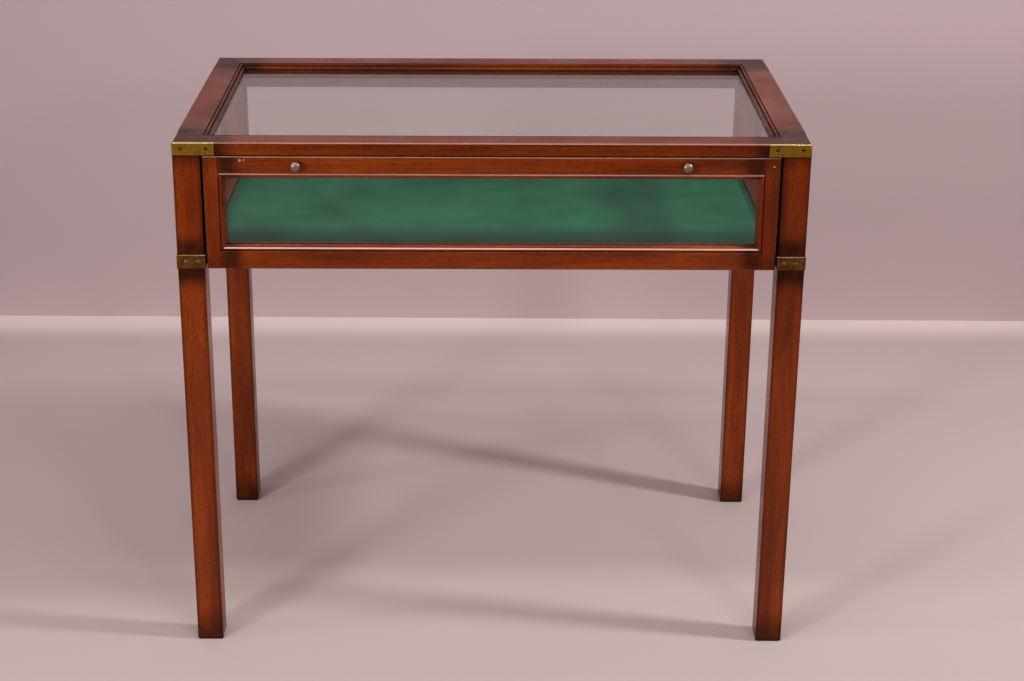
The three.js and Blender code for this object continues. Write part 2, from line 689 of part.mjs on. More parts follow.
function dropFront() {
  const group = new THREE.Group();
  group.position.set(0, DOOR_FRONT, CASE_BOTTOM);

  const mouldBottom = DOOR_BOTTOM_RAIL + JOINT / 2;
  const mouldTop = DOOR_H - DOOR_TOP_RAIL - JOINT / 2;
  const envelope = doorEnvelope();
  const leftStile = doorMember(DOOR_STILE, 0, DOOR_H, mouldBottom, mouldTop);
  leftStile.translate(-DOOR_HALF, 0, 0);
  group.add(piece('door_stile_left', common(leftStile, envelope), WOOD()));
  const rightStile = doorMember(DOOR_STILE, -DOOR_H, 0, -mouldTop, -mouldBottom);
  rightStile.rotateY(Math.PI).translate(DOOR_HALF, 0, 0);
  group.add(piece('door_stile_right', common(rightStile, envelope), WOOD()));

  const reach = DOOR_HALF - DOOR_STILE - JOINT / 2;
  const knobHoles = [-1, 1].flatMap((side) => [
    cylinder(KNOB_HOLE_R, 3 * DOOR_T).translate(side * KNOB_X, 0, KNOB_Z - CASE_BOTTOM),
    cylinder(SCREW_SINK_R, 2 * SCREW_SINK_L).translate(side * KNOB_X, DOOR_T, KNOB_Z - CASE_BOTTOM),
    cylinder(BARREL_R + JOINT, 2 * (BARREL_L + 0.2)).rotateX(Math.PI / 2)
      .translate(side * KNOB_X, DOOR_T / 2, DOOR_H),
  ]);
  const topRailBlank = doorMember(DOOR_TOP_RAIL, -reach, reach, -reach, reach);
  topRailBlank.rotateY(Math.PI / 2).translate(0, 0, DOOR_H);
  group.add(piece('door_rail_top', cut(topRailBlank, ...knobHoles), WOOD()));

  const bottomBlank = doorMember(DOOR_BOTTOM_RAIL, -reach, reach, -reach, reach);
  bottomBlank.rotateY(-Math.PI / 2);
  const leafRecesses = [-1, 1].map((side) => boxBetween(
    [side * HINGE_X - HINGE_W / 2 - JOINT, DOOR_T - HINGE_LEAF_T - 2 * JOINT, -1],
    [side * HINGE_X + HINGE_W / 2 + JOINT, DOOR_T + 1, HINGE_LEAF_H + JOINT],
  ));
  group.add(piece('door_rail_bottom', cut(bottomBlank, ...leafRecesses), WOOD()));

  const wallX = DOOR_HALF - DOOR_STILE - DOOR_REBATE;
  const wallZ = [DOOR_BOTTOM_RAIL + DOOR_REBATE, DOOR_H - DOOR_TOP_RAIL - DOOR_REBATE];
  const glassW = 2 * (wallX - 0.7);
  const glassH = wallZ[1] - wallZ[0] - 1.4;
  const pane = piece('door_glass', new THREE.BoxGeometry(glassW, GLASS_T, glassH), GLASS());
  pane.position.set(0, DOOR_GLASS_DEPTH + JOINT + GLASS_T / 2, (wallZ[0] + wallZ[1]) / 2);
  const beadT = DOOR_T - DOOR_GLASS_DEPTH - GLASS_T - 3;
  const bead = piece(
    'door_glazing_bead',
    beadRing(2 * (wallX - JOINT), wallZ[1] - wallZ[0] - 2 * JOINT, BEAD, beadT),
    WOOD(),
  );
  bead.rotation.x = Math.PI / 2;
  bead.position.set(0, DOOR_GLASS_DEPTH + GLASS_T + 2 * JOINT + beadT, (wallZ[0] + wallZ[1]) / 2);
  group.add(pane, bead);

  [['left', -1], ['right', 1]].forEach(([side, sx]) => {
    const knob = piece(`knob_${side}`, knobGeometry(), BRONZE());
    knob.position.set(sx * KNOB_X, -JOINT, KNOB_Z - CASE_BOTTOM);
    const screw = piece(`knob_screw_${side}`, knobScrewGeometry(), STEEL());
    screw.position.set(sx * KNOB_X, DOOR_T - JOINT, KNOB_Z - CASE_BOTTOM);
    const leaf = piece(`hinge_moving_leaf_${side}`, hingeLeaf(-1, MOVING_KNUCKLES), BRASS());
    leaf.position.set(sx * HINGE_X, DOOR_T + DOOR_BACK_GAP / 2, -HINGE_DROP);
    const barrel = piece(`catch_barrel_${side}`, catchBarrel(), BRASS());
    barrel.position.set(sx * KNOB_X, DOOR_T / 2, DOOR_H - JOINT);
    const spring = piece(`catch_spring_${side}`, catchSpring(), STEEL());
    spring.position.set(sx * KNOB_X, DOOR_T / 2, DOOR_H - BARREL_L + 1.2);
    const ball = piece(`catch_ball_${side}`, new THREE.SphereGeometry(BALL_R, 14, 10), STEEL());
    ball.position.set(sx * KNOB_X, DOOR_T / 2, DOOR_H - BALL_BELOW_EDGE);
    group.add(knob, screw, leaf, barrel, spring, ball);
  });
  return group;
}

// ---------------------------------------------------------------- brass mounts

// Rounds the outer upper edges of a corner plate, whose outer faces are y = 0 and x = 0.
function easeUpperEdges(plate, height, radius) {
  const reach = BRACKET_ARM + 2;
  const shape = new THREE.Shape();
  shape.moveTo(0, -1);
  shape.lineTo(reach, -1);
  shape.lineTo(reach, height);
  shape.lineTo(radius, height);
  shape.absarc(radius, height - radius, radius, Math.PI / 2, Math.PI);
  const alongX = extrude(shape, reach, 3).rotateX(Math.PI / 2).rotateZ(Math.PI / 2);
  const alongY = extrude(shape, reach, 3).rotateX(Math.PI / 2).translate(0, reach, 0);
  return common(common(plate, alongX), alongY);
}

// An L-shaped brass plate round a corner. Its outer corner is the origin and its arms run along +X
// and +Y, with countersunk screw holes along each arm.
function cornerPlate(armX, armY, thickness, height, ease, screws) {
  const r = 2;
  const shape = new THREE.Shape();
  shape.moveTo(0, r);
  shape.absarc(r, r, r, Math.PI, 1.5 * Math.PI);
  shape.lineTo(armX, 0);
  shape.lineTo(armX, thickness);
  shape.lineTo(thickness, thickness);
  shape.lineTo(thickness, armY);
  shape.lineTo(0, armY);
  const plate = easeUpperEdges(extrude(shape, height, 2), height, ease);
  const holes = screws.flatMap((at) => {
    const sink = () => cylinder(3, thickness + 0.8, 12, 1.4);
    const front = sink().translate(at, thickness / 2, height / 2);
    const side = sink().rotateZ(-Math.PI / 2).translate(thickness / 2, at, height / 2);
    return [front, side];
  });
  return cut(plate, ...holes);
}

// The strap of one leg, which has quarter turns still to be made about the outer corner. On the
// front legs it crosses the whole front face and turns on to the inner face.
function legStrap(sy, quarter) {
  const wrap = LEG + 2 * STRAP_STANDOFF;
  if (sy > 0) {
    return cornerPlate(STRAP_ARM, STRAP_ARM, STRAP_T, STRAP_H, STRAP_EASE, STRAP_SCREWS);
  }
  const arms = quarter === 0 ? [wrap, STRAP_ARM] : [STRAP_ARM, wrap];
  const plate = cornerPlate(...arms, STRAP_T, STRAP_H, STRAP_EASE, STRAP_SCREWS);
  const inner = quarter === 0
    ? boxBetween([wrap - STRAP_T, STRAP_EASE, 0], [wrap, STRAP_RETURN, STRAP_H])
    : boxBetween([STRAP_EASE, wrap - STRAP_T, 0], [STRAP_RETURN, wrap, STRAP_H]);
  return join(plate, inner);
}

function brassMounts() {
  const group = new THREE.Group();
  const corners = [['front_left', -1, -1, 0], ['front_right', 1, -1, 1], ['back_right', 1, 1, 2], ['back_left', -1, 1, 3]];
  corners.forEach(([corner, sx, sy, quarter]) => {
    const height = TOP_T - 2 * JOINT;
    const bracket = cornerPlate(BRACKET_ARM, BRACKET_ARM, BRACKET_T, height, BRACKET_EASE, BRACKET_SCREWS);
    const plate = piece(`corner_bracket_${corner}`, bracket, BRASS());
    plate.rotation.z = quarter * Math.PI / 2;
    plate.position.set(sx * TABLE_W / 2, sy * TABLE_D / 2, TOP_UNDER + JOINT);
    const strap = piece(`leg_strap_${corner}`, legStrap(sy, quarter), OLD_BRASS());
    strap.rotation.z = quarter * Math.PI / 2;
    strap.position.set(sx * (OUTER_X + STRAP_STANDOFF), sy * (OUTER_Y + STRAP_STANDOFF), CASE_BOTTOM + 0.5);
    group.add(plate, strap);
  });
  [['left', -1], ['right', 1]].forEach(([side, sx]) => {
    const plate = strikePlate(`catch_strike_${side}`);
    plate.position.set(sx * KNOB_X, DOOR_FRONT + DOOR_T / 2, TOP_UNDER);
    const leaf = piece(`hinge_fixed_leaf_${side}`, hingeLeaf(1, FIXED_KNUCKLES), BRASS());
    leaf.position.set(sx * HINGE_X, BASE_RAIL_FRONT - DOOR_BACK_GAP / 2, CASE_BOTTOM - HINGE_DROP);
    const pin = piece(`hinge_pin_${side}`, hingePin(), STEEL());
    pin.position.copy(leaf.position);
    group.add(plate, leaf, pin);
  });
  return group;
}

// ---------------------------------------------------------------- the whole table

const table = new THREE.Group();
table.name = 'display_table';
table.position.y = CENTRING;
table.add(topFrame(), caseFrame(), dropFront(), brassMounts());

export default table;
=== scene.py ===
"""Looks of the glazed display table: materials, finished edges, knobs, screws, lining, stage, lights
and camera."""

import math
import random

import bmesh
import bpy
from mathutils import Matrix, Vector


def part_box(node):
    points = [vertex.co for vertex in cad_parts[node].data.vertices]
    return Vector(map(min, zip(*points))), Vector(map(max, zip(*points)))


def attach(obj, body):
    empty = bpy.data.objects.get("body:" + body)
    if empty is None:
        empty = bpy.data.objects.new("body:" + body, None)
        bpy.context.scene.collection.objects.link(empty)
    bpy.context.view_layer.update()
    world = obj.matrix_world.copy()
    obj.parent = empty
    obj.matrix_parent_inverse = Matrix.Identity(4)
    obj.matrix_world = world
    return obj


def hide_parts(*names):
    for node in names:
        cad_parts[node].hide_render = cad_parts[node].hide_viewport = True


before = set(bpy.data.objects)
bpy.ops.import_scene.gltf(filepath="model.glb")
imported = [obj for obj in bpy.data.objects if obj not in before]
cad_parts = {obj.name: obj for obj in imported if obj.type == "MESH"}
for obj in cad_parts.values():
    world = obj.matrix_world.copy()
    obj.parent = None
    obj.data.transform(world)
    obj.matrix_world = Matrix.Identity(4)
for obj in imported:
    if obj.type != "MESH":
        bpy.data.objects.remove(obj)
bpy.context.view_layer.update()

MM = 0.001
SIDES = ("left", "right")
CORNERS = ("front_left", "front_right", "back_left", "back_right")
GLASS_NODES = ("top_glass", "side_glass_left", "side_glass_right", "back_glass", "door_glass")


# ---------------------------------------------------------------- node material helper


def srgb(red, green, blue):
    """Linear colour of a display colour given as 0 to 255."""
    def linear(value):
        share = value / 255
        return share / 12.92 if share <= 0.04045 else ((share + 0.055) / 1.055) ** 2.4

    return (linear(red), linear(green), linear(blue), 1.0)


class NodeMaterial:
    """A material under construction. Every helper returns an output socket."""

    def __init__(self, name):
        self.material = bpy.data.materials.new(name)
        self.material.use_nodes = True
        self.tree = self.material.node_tree
        self.tree.nodes.clear()

    def add(self, kind, inputs=None, output=0, **settings):
        node = self.tree.nodes.new("ShaderNode" + kind)
        for key, value in settings.items():
            setattr(node, key, value)
        for key, value in (inputs or {}).items():
            if isinstance(value, bpy.types.NodeSocket):
                self.tree.links.new(value, node.inputs[key])
            else:
                node.inputs[key].default_value = value
        return node.outputs[output]

    def math(self, operation, a, b=0.0, clamp=False):
        return self.add("Math", {0: a, 1: b}, operation=operation, use_clamp=clamp)

    def times(self, a, b):
        return self.math("MULTIPLY", a, b)

    def mix(self, share, a, b):
        """Colour a where share is 0, colour b where it is 1."""
        return self.add("Mix", {0: share, 6: a, 7: b}, output=2, data_type="RGBA")

    def span(self, value, low, high, to_low=0.0, to_high=1.0):
        """Goes smoothly from to_low to to_high while value goes from low to high."""
        ends = {0: value, 1: low, 2: high, 3: to_low, 4: to_high}
        return self.add("MapRange", ends, interpolation_type="SMOOTHSTEP")

    def place(self, scale, location=(0, 0, 0)):
        """The object's own coordinates in metres, multiplied by a scale for each axis."""
        coordinates = self.add("TexCoord", output="Object")
        return self.add("Mapping", {"Vector": coordinates, "Scale": scale, "Location": location})

    def axis(self, letter):
        """One coordinate in metres. On a CAD node it is the shared frame's own, at rest."""
        coordinates = self.add("TexCoord", output="Object")
        return self.add("SeparateXYZ", {0: coordinates}, output="XYZ".index(letter))

    def noise(self, vector, detail=4.0, roughness=0.5, distortion=0.0):
        settings = {
            "Vector": vector,
            "Scale": 1.0,
            "Detail": detail,
            "Roughness": roughness,
            "Distortion": distortion,
        }
        return self.add("TexNoise", settings)

    def ramp(self, value, stops):
        colour_out = self.add("ValToRGB", {0: value})
        elements = colour_out.node.color_ramp.elements
        while len(elements) < len(stops):
            elements.new(0.5)
        for element, (position, colour) in zip(elements, stops):
            element.position = position
            element.color = colour
        return colour_out

    def crevice(self, reach):
        """1 on open surfaces, falling to 0 in grooves and corners within reach."""
        return self.add("AmbientOcclusion", {"Distance": reach}, output="AO", samples=6)

    def arris(self, reach):
        """1 on flat surfaces, falling to 0 towards sharp outer edges within reach."""
        return self.add(
            "AmbientOcclusion", {"Distance": reach}, output="AO", samples=6, inside=True,
        )

    def bump(self, height, depth, strength=1.0, below=None):
        inputs = {"Height": height, "Distance": depth, "Strength": strength}
        if below is not None:
            inputs["Normal"] = below
        return self.add("Bump", inputs)

    def surface(self, **inputs):
        """A finished material. Inputs are the shader's own, with _ for a space."""
        spaced = {key.replace("_", " "): value for key, value in inputs.items()}
        self.add_output(self.add("BsdfPrincipled", spaced))
        return self.material

    def add_output(self, shader):
        node = self.tree.nodes.new("ShaderNodeOutputMaterial")
        self.tree.links.new(shader, node.inputs["Surface"])


# ---------------------------------------------------------------- materials


WOOD_LINE = srgb(66, 18, 4)
WOOD_BLOTCH = srgb(80, 24, 5)
WOOD_PORE = srgb(30, 8, 3)
WOOD_FLECK = srgb(34, 10, 4)
# painted shade with dirt, laid into the wood's crevices
CREVICE_DIRT_AND_SHADE = srgb(18, 6, 3)
DARK_POLISH = srgb(26, 9, 5)
DARK_EDGE = srgb(40, 14, 7)
# painted highlight, the pale line that lamps draw on beads and edges
PAINTED_HIGHLIGHT = srgb(238, 176, 156)
CHIPPED_POLISH = srgb(206, 142, 100)


def zone_mask(m, zones):
    """Share of all zones together. A zone is a band (axis, low, high, softness, strength)."""
    total = None
    for letter, low, high, soft, strength in zones:
        value = m.axis(letter)
        rise = m.span(value, low - soft, low, 0.0, strength)
        band = m.times(rise, m.span(value, high, high + soft, 1.0, 0.0))
        total = band if total is None else m.math("MAXIMUM", total, band)
    return total


def both_ends(letter, low, high, reach, soft, strength):
    """Zones over the first and the last reach of a span along an axis."""
    return [
        (letter, low, low + reach, soft, strength),
        (letter, high - reach, high, soft, strength),
    ]


def stretched(grain, across, along):
    """Texture scales that draw a pattern out along the grain."""
    return tuple(along if letter == grain else across for letter in "XYZ")


def wood_grain(m, grain, tone):
    """Colour of the figured wood, with its fine lines and its open pores as masks."""
    figure = m.noise(m.place(stretched(grain, 26, 3.0)), detail=5, roughness=0.55, distortion=0.6)
    lines = m.noise(m.place(stretched(grain, 520, 14)), detail=3, roughness=0.6, distortion=0.25)
    pores = m.noise(m.place(stretched(grain, 1700, 110)), detail=2, roughness=0.5)
    blotch = m.noise(m.place(stretched(grain, 9, 5), (3.1, 1.7, 0.4)), detail=3, roughness=0.6)
    flecks = m.noise(m.place(stretched(grain, 520, 170), (0.3, 0.8, 0.5)), detail=2, roughness=0.5)
    pore_mask = m.span(pores, 0.58, 0.68)

    base = m.ramp(figure, [
        (0.30, srgb(87 * tone, 30 * tone, 3 * tone)),
        (0.46, srgb(126 * tone, 46 * tone, 5 * tone)),
        (0.60, srgb(145 * tone, 58 * tone, 7 * tone)),
        (0.76, srgb(162 * tone, 75 * tone, 12 * tone)),
    ])
    base = m.mix(m.span(lines, 0.35, 0.65, 0.0, 0.36), base, WOOD_LINE)
    base = m.mix(m.span(blotch, 0.42, 0.68, 0.0, 0.35), base, WOOD_BLOTCH)
    base = m.mix(m.times(pore_mask, 0.6), base, WOOD_PORE)
    base = m.mix(m.span(flecks, 0.58, 0.70, 0.0, 0.5), base, WOOD_FLECK)
    return base, lines, pore_mask


def paint_highlights(m, base, grain, painted_highlight):
    """Painted highlight in the given zones: a pale colour only on the skin of the table's front, broken
    by the grain.
    """
    front_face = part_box("door_rail_top")[0][1]
    skin = m.span(m.axis("Y"), front_face + 1.6 * MM, front_face + 3.0 * MM, 1.0, 0.0)
    broken = m.noise(m.place(stretched(grain, 240, 9), (0.2, 0.6, 0.1)), detail=3)
    highlight_share = m.times(m.times(zone_mask(m, painted_highlight), skin), m.span(broken, 0.25, 0.5, 0.65, 1.0))
    return m.mix(highlight_share, base, PAINTED_HIGHLIGHT)


def chip_polish(m, base, x, z, size):
    """One small pale bruise with a ragged outline."""
    across = m.math("SUBTRACT", m.axis("X"), x)
    upward = m.math("SUBTRACT", m.axis("Z"), z)
    away = m.math("SQRT", m.math("ADD", m.times(across, across), m.times(upward, upward)))
    ragged = m.math("ADD", away, m.times(m.noise(m.place((900, 900, 900))), 1.6 * MM))
    return m.mix(m.span(ragged, size, size + 0.8 * MM, 0.85, 0.0), base, CHIPPED_POLISH)


def mahogany(name, grain, zones=(), painted_highlight=(), chips=(), tone=1.0, gloss=0.28, dark_arris=0.0,
             dirt_and_shade_reach=7 * MM):
    """Polished red-brown mahogany whose grain runs along one axis. It is darkened in the given zones
    and, if asked, along its sharp edges. Painted highlights are zones too, kept to the skin of the
    front.
    Each chip is given as (x, z, size). Dirt with painted shade, and the loss of shine, reach out of
    every crevice."""
    m = NodeMaterial(name)
    base, lines, pore_mask = wood_grain(m, grain, tone)

    # painted shade with dirt: the colour darkens towards every crevice within the reach
    crevice = m.crevice(dirt_and_shade_reach)
    dirt_and_shade = m.span(crevice, 0.25, 0.85, 0.92, 0.0)
    shine = m.span(crevice, 0.45, 0.85)
    base = m.mix(dirt_and_shade, base, CREVICE_DIRT_AND_SHADE)
    if zones:
        cloud = m.noise(m.place((60, 60, 60)), detail=3)
        shade = m.times(zone_mask(m, zones), m.span(cloud, 0.25, 0.6, 0.72, 1.0))
        base = m.mix(shade, base, DARK_POLISH)
        shine = m.times(shine, m.math("SUBTRACT", 1.0, m.times(shade, 0.45)))
    if dark_arris:
        edge = m.span(m.arris(6 * MM), 0.55, 0.97, dark_arris, 0.0)
        base = m.mix(edge, base, DARK_EDGE)
        shine = m.times(shine, m.math("SUBTRACT", 1.0, edge))
    # painted highlight on the beads and edges of the front
    if painted_highlight:
        base = paint_highlights(m, base, grain, painted_highlight)
    for x, z, size in chips:
        base = chip_polish(m, base, x, z, size)

    handling_and_highlight = m.noise(m.place((14, 14, 14), (0.7, 0.2, 0.9)), detail=4)
    fine = m.bump(lines, 0.03 * MM, 0.12)
    return m.surface(
        Base_Color=base,
        Roughness=m.span(handling_and_highlight, 0.3, 0.7, 0.24, 0.40),
        Normal=m.bump(m.math("SUBTRACT", 1.0, pore_mask), 0.05 * MM, 0.2, below=fine),
        IOR=1.47,
        Specular_IOR_Level=m.times(shine, 0.35),
        Specular_Tint=(1.0, 0.55, 0.4, 1),
        Coat_Weight=m.times(shine, gloss),
        Coat_Roughness=0.14,
        Coat_IOR=1.5,
    )


def floor_board():
    """Plain unpolished board for the case floor."""
    m = NodeMaterial("floor_board")
    figure = m.noise(m.place((6, 60, 60)), detail=5, distortion=0.8)
    lines = m.noise(m.place((12, 500, 500)), detail=3)
    base = m.ramp(figure, [(0.3, srgb(120, 84, 56)), (0.7, srgb(158, 118, 80))])
    base = m.mix(m.span(lines, 0.35, 0.65, 0.0, 0.35), base, srgb(96, 64, 42))
    return m.surface(Base_Color=base, Roughness=0.7, Normal=m.bump(lines, 0.08 * MM, 0.5))


def brass(name, bright, dull, stain, polished, tarnished, top=None, painted_highlight=None):
    """Brass with tarnish clouds, fine rubbing marks and dark dirt in crevices. Polished and tarnished
    are the roughness of its bright and its stained parts. The edge along its top can carry a painted
    highlight of another colour, strongest near the front."""
    m = NodeMaterial(name)
    cloud = m.noise(m.place((75, 75, 110)), detail=5, roughness=0.62, distortion=0.5)
    speck = m.noise(m.place((650, 650, 650)), detail=3)
    rub = m.noise(m.place((90, 90, 1400)), detail=3)
    base = m.ramp(cloud, [(0.30, stain), (0.46, dull), (0.68, bright)])
    base = m.mix(m.span(speck, 0.56, 0.72, 0.0, 0.5), base, stain)
    if painted_highlight is not None:
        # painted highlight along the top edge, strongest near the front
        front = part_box("top_rail_front")[0][1]
        edge = m.span(m.axis("Z"), top - 1.3 * MM, top - 0.5 * MM, 0.0, 0.9)
        handling_and_highlight = m.span(m.axis("Y"), front + 21 * MM, front + 111 * MM, 1.0, 0.25)
        base = m.mix(m.times(edge, handling_and_highlight), base, painted_highlight)
    dirt_and_shade = m.span(m.crevice(1.6 * MM), 0.4, 0.9, 0.85, 0.0)
    base = m.mix(dirt_and_shade, base, srgb(28, 18, 8))
    roughness = m.span(cloud, 0.3, 0.7, tarnished, polished)
    relief = m.bump(rub, 0.02 * MM, 0.4, below=m.bump(speck, 0.05 * MM, 0.35))
    metallic = m.span(dirt_and_shade, 0.2, 0.8, 1.0, 0.4)
    return m.surface(Base_Color=base, Metallic=metallic, Roughness=roughness, Normal=relief)


def steel():
    """Plain steel with faint cloudy wear."""
    m = NodeMaterial("steel")
    cloud = m.noise(m.place((300, 300, 300)), detail=4)
    base = m.ramp(cloud, [(0.3, srgb(120, 118, 114)), (0.7, srgb(178, 176, 172))])
    return m.surface(
        Base_Color=base,
        Metallic=1.0,
        Roughness=m.span(cloud, 0.3, 0.7, 0.4, 0.22),
        Normal=m.bump(cloud, 0.02 * MM, 0.3),
    )


def glass(name, film):
    """Thin clear glass: it mirrors by its angle, lets light through, and carries a film of dust."""
    m = NodeMaterial(name)
    normal_share = 0.043
    facing = m.add("LayerWeight", {"Blend": 0.5}, output="Facing")
    rise = m.times(m.math("POWER", facing, 5.0), 1 - normal_share)
    mirror_share = m.math("ADD", rise, normal_share, clamp=True)
    wipe = m.noise(m.place((9, 9, 9)), detail=4, distortion=1.2)
    speck = m.noise(m.place((420, 420, 420)), detail=2)
    clear = m.add("BsdfTransparent", {"Color": (0.965, 0.985, 0.975, 1)})
    smear = m.span(wipe, 0.4, 0.7, 0.0, 0.05)
    mirror = m.add("BsdfAnisotropic", {"Color": (1, 1, 1, 1), "Roughness": smear})
    pane = m.add("MixShader", {0: mirror_share, 1: clear, 2: mirror})
    haze = m.add("BsdfDiffuse", {"Color": srgb(190, 186, 180)})
    film_share = m.span(wipe, 0.40, 0.70, film, 1.6 * film)
    dust = m.math("ADD", film_share, m.span(speck, 0.70, 0.76, 0.0, 0.08))
    m.add_output(m.add("MixShader", {0: dust, 1: pane, 2: haze}))
    return m.material


def baize():
    """Green wool baize: felted fibres, a soft nap and slow patches where the nap lies differently.
    A painted shadow darkens the strip close behind the drop front."""
    m = NodeMaterial("green_baize")
    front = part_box("baize_lining")[0][1]
    # painted shadow over the strip close behind the drop front
    strip = m.span(m.axis("Y"), front + 70.7 * MM, front + 110.7 * MM, 0.85, 0.0)
    patch = m.noise(m.place((11, 11, 11)), detail=5, roughness=0.6, distortion=0.4)
    fibre = m.noise(m.place((900, 900, 900)), detail=5, roughness=0.75)
    tuft = m.noise(m.place((240, 240, 240)), detail=4)
    base = m.ramp(patch, [
        (0.34, srgb(14, 76, 50)),
        (0.52, srgb(18, 94, 64)),
        (0.70, srgb(26, 110, 76)),
    ])
    base = m.mix(m.span(fibre, 0.4, 0.65, 0.0, 0.35), base, srgb(8, 66, 44))
    base = m.mix(strip, base, srgb(12, 50, 33))
    relief = m.bump(fibre, 0.12 * MM, 0.5, below=m.bump(tuft, 0.06 * MM, 0.12))
    return m.surface(
        Base_Color=base,
        Roughness=0.95,
        Sheen_Weight=0.18,
        Sheen_Roughness=0.5,
        Sheen_Tint=srgb(120, 205, 170),
        Specular_IOR_Level=0.15,
        Normal=relief,
    )


# ---------------------------------------------------------------- mesh finishing


def geometry_group(name):
    """An empty group of geometry nodes with its start and its end."""
    group = bpy.data.node_groups.new(name, "GeometryNodeTree")
    group.interface.new_socket("Geometry", in_out="INPUT", socket_type="NodeSocketGeometry")
    group.interface.new_socket("Geometry", in_out="OUTPUT", socket_type="NodeSocketGeometry")
    return group, group.nodes.new("NodeGroupInput"), group.nodes.new("NodeGroupOutput")


def weld_group():
    """Geometry nodes that join the split corners of an imported mesh and drop its stored normals."""
    group, start, end = geometry_group("weld")
    merge = group.nodes.new("GeometryNodeMergeByDistance")
    merge.inputs["Distance"].default_value = 0.002 * MM
    drop = group.nodes.new("GeometryNodeRemoveAttribute")
    drop.inputs["Name"].default_value = "custom_normal"
    group.links.new(start.outputs[0], merge.inputs["Geometry"])
    group.links.new(merge.outputs[0], drop.inputs["Geometry"])
    group.links.new(drop.outputs[0], end.inputs[0])
    return group


def smooth_group(limit):
    """Geometry nodes that shade smooth, with creases where faces meet at more than limit."""
    group, start, end = geometry_group("smooth")
    faces = group.nodes.new("GeometryNodeSetShadeSmooth")
    faces.domain = "FACE"
    edges = group.nodes.new("GeometryNodeSetShadeSmooth")
    edges.domain = "EDGE"
    angle = group.nodes.new("GeometryNodeInputMeshEdgeAngle")
    compare = group.nodes.new("FunctionNodeCompare")
    compare.operation = "LESS_THAN"
    compare.inputs[1].default_value = limit
    group.links.new(angle.outputs["Unsigned Angle"], compare.inputs[0])
    group.links.new(start.outputs[0], faces.inputs["Geometry"])
    group.links.new(faces.outputs[0], edges.inputs["Geometry"])
    group.links.new(compare.outputs[0], edges.inputs["Shade Smooth"])
    group.links.new(edges.outputs[0], end.inputs[0])
    return group


WELD = weld_group()
SMOOTH = smooth_group(math.radians(35))


def refine(obj, bevel):
    """Welds a CAD node, clears its flat faces of inner edges, eases its sharp edges and smooths it.
    The large faces keep their own normals, so only the eased edges look round."""
    weld = obj.modifiers.new("weld", "NODES")
    weld.node_group = WELD
    flat = obj.modifiers.new("flat_faces", "DECIMATE")
    flat.decimate_type = "DISSOLVE"
    flat.angle_limit = math.radians(0.5)
    if bevel:
        ease = obj.modifiers.new("eased_edges", "BEVEL")
        ease.width = bevel
        ease.segments = 2
        ease.limit_method = "ANGLE"
        ease.angle_limit = math.radians(40)
        ease.use_clamp_overlap = True
    smooth = obj.modifiers.new("smooth", "NODES")
    smooth.node_group = SMOOTH
    flatten = obj.modifiers.new("flat_shading", "WEIGHTED_NORMAL")
    flatten.mode = "FACE_AREA"
    flatten.weight = 90
    flatten.keep_sharp = True


def dress(node, material, bevel=0.25 * MM):
    """Gives a CAD node its material and its finished edges."""
    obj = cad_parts[node]
    obj.data.materials.clear()
    obj.data.materials.append(material)
    refine(obj, bevel)


def add_object(name, mesh):
    """Puts a mesh in the scene."""
    obj = bpy.data.objects.new(name, mesh)
    bpy.context.scene.collection.objects.link(obj)
    return obj


def mesh_object(name, bm, material, body):
    """Turns a bmesh into a shown piece that rides on a CAD body."""
    mesh = bpy.data.meshes.new(name)
    bmesh.ops.recalc_face_normals(bm, faces=bm.faces)
    bm.to_mesh(mesh)
    bm.free()
    mesh.materials.append(material)
    obj = add_object(name, mesh)
    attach(obj, body)
    return obj


# ---------------------------------------------------------------- wood, glass and brass of the frame


def leg_wood():
    """Legs: darkened round the straps, under the top and at the feet."""
    strap_low, strap_high = (corner[2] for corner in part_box("leg_strap_front_left"))
    under_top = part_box("top_rail_front")[0][2]
    return mahogany("mahogany_leg", "Z", [
        ("Z", strap_low - 8 * MM, strap_high + 8 * MM, 26 * MM, 0.9),
        ("Z", under_top - 3 * MM, under_top, 20 * MM, 0.5),
        ("Z", 0.0, 10 * MM, 45 * MM, 0.75),
    ], tone=1.02, gloss=0.15, dark_arris=0.65)


def top_wood():
    """Long and short rails of the top: dark corners and mouldings, and a painted highlight along the
    front edge.
    """
    flat_width = 34.5 * MM
    corner_reach = 55 * MM
    front_low, front_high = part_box("top_rail_front")
    left, front = front_low[0], front_low[1]
    right, top = front_high[0], front_high[2]
    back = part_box("top_rail_back")[1][1]
    sight = front_high[1] - front

    def mouldings(letter, low, high, strength):
        """The moulded strips inside the two flats that face each other along an axis."""
        return [
            (letter, low + flat_width, low + sight, 1 * MM, strength),
            (letter, high - sight, high - flat_width, 1 * MM, strength),
        ]

    top_long = mahogany(
        "mahogany_top_long", "X",
        both_ends("X", left, right, corner_reach, 27 * MM, 0.86) + mouldings("Y", front, back, 0.3),
        # painted highlight along the top's front arris
        painted_highlight=[("Z", top - 1.0 * MM, top, 0.4 * MM, 0.38)],
        tone=0.93, gloss=0.05, dirt_and_shade_reach=3 * MM,
    )
    top_short = mahogany(
        "mahogany_top_short", "Y",
        both_ends("Y", front, back, corner_reach, 34 * MM, 0.86) + mouldings("X", left, right, 0.4),
        tone=0.86, gloss=0.06, dirt_and_shade_reach=3.5 * MM,
    )
    return top_long, top_short


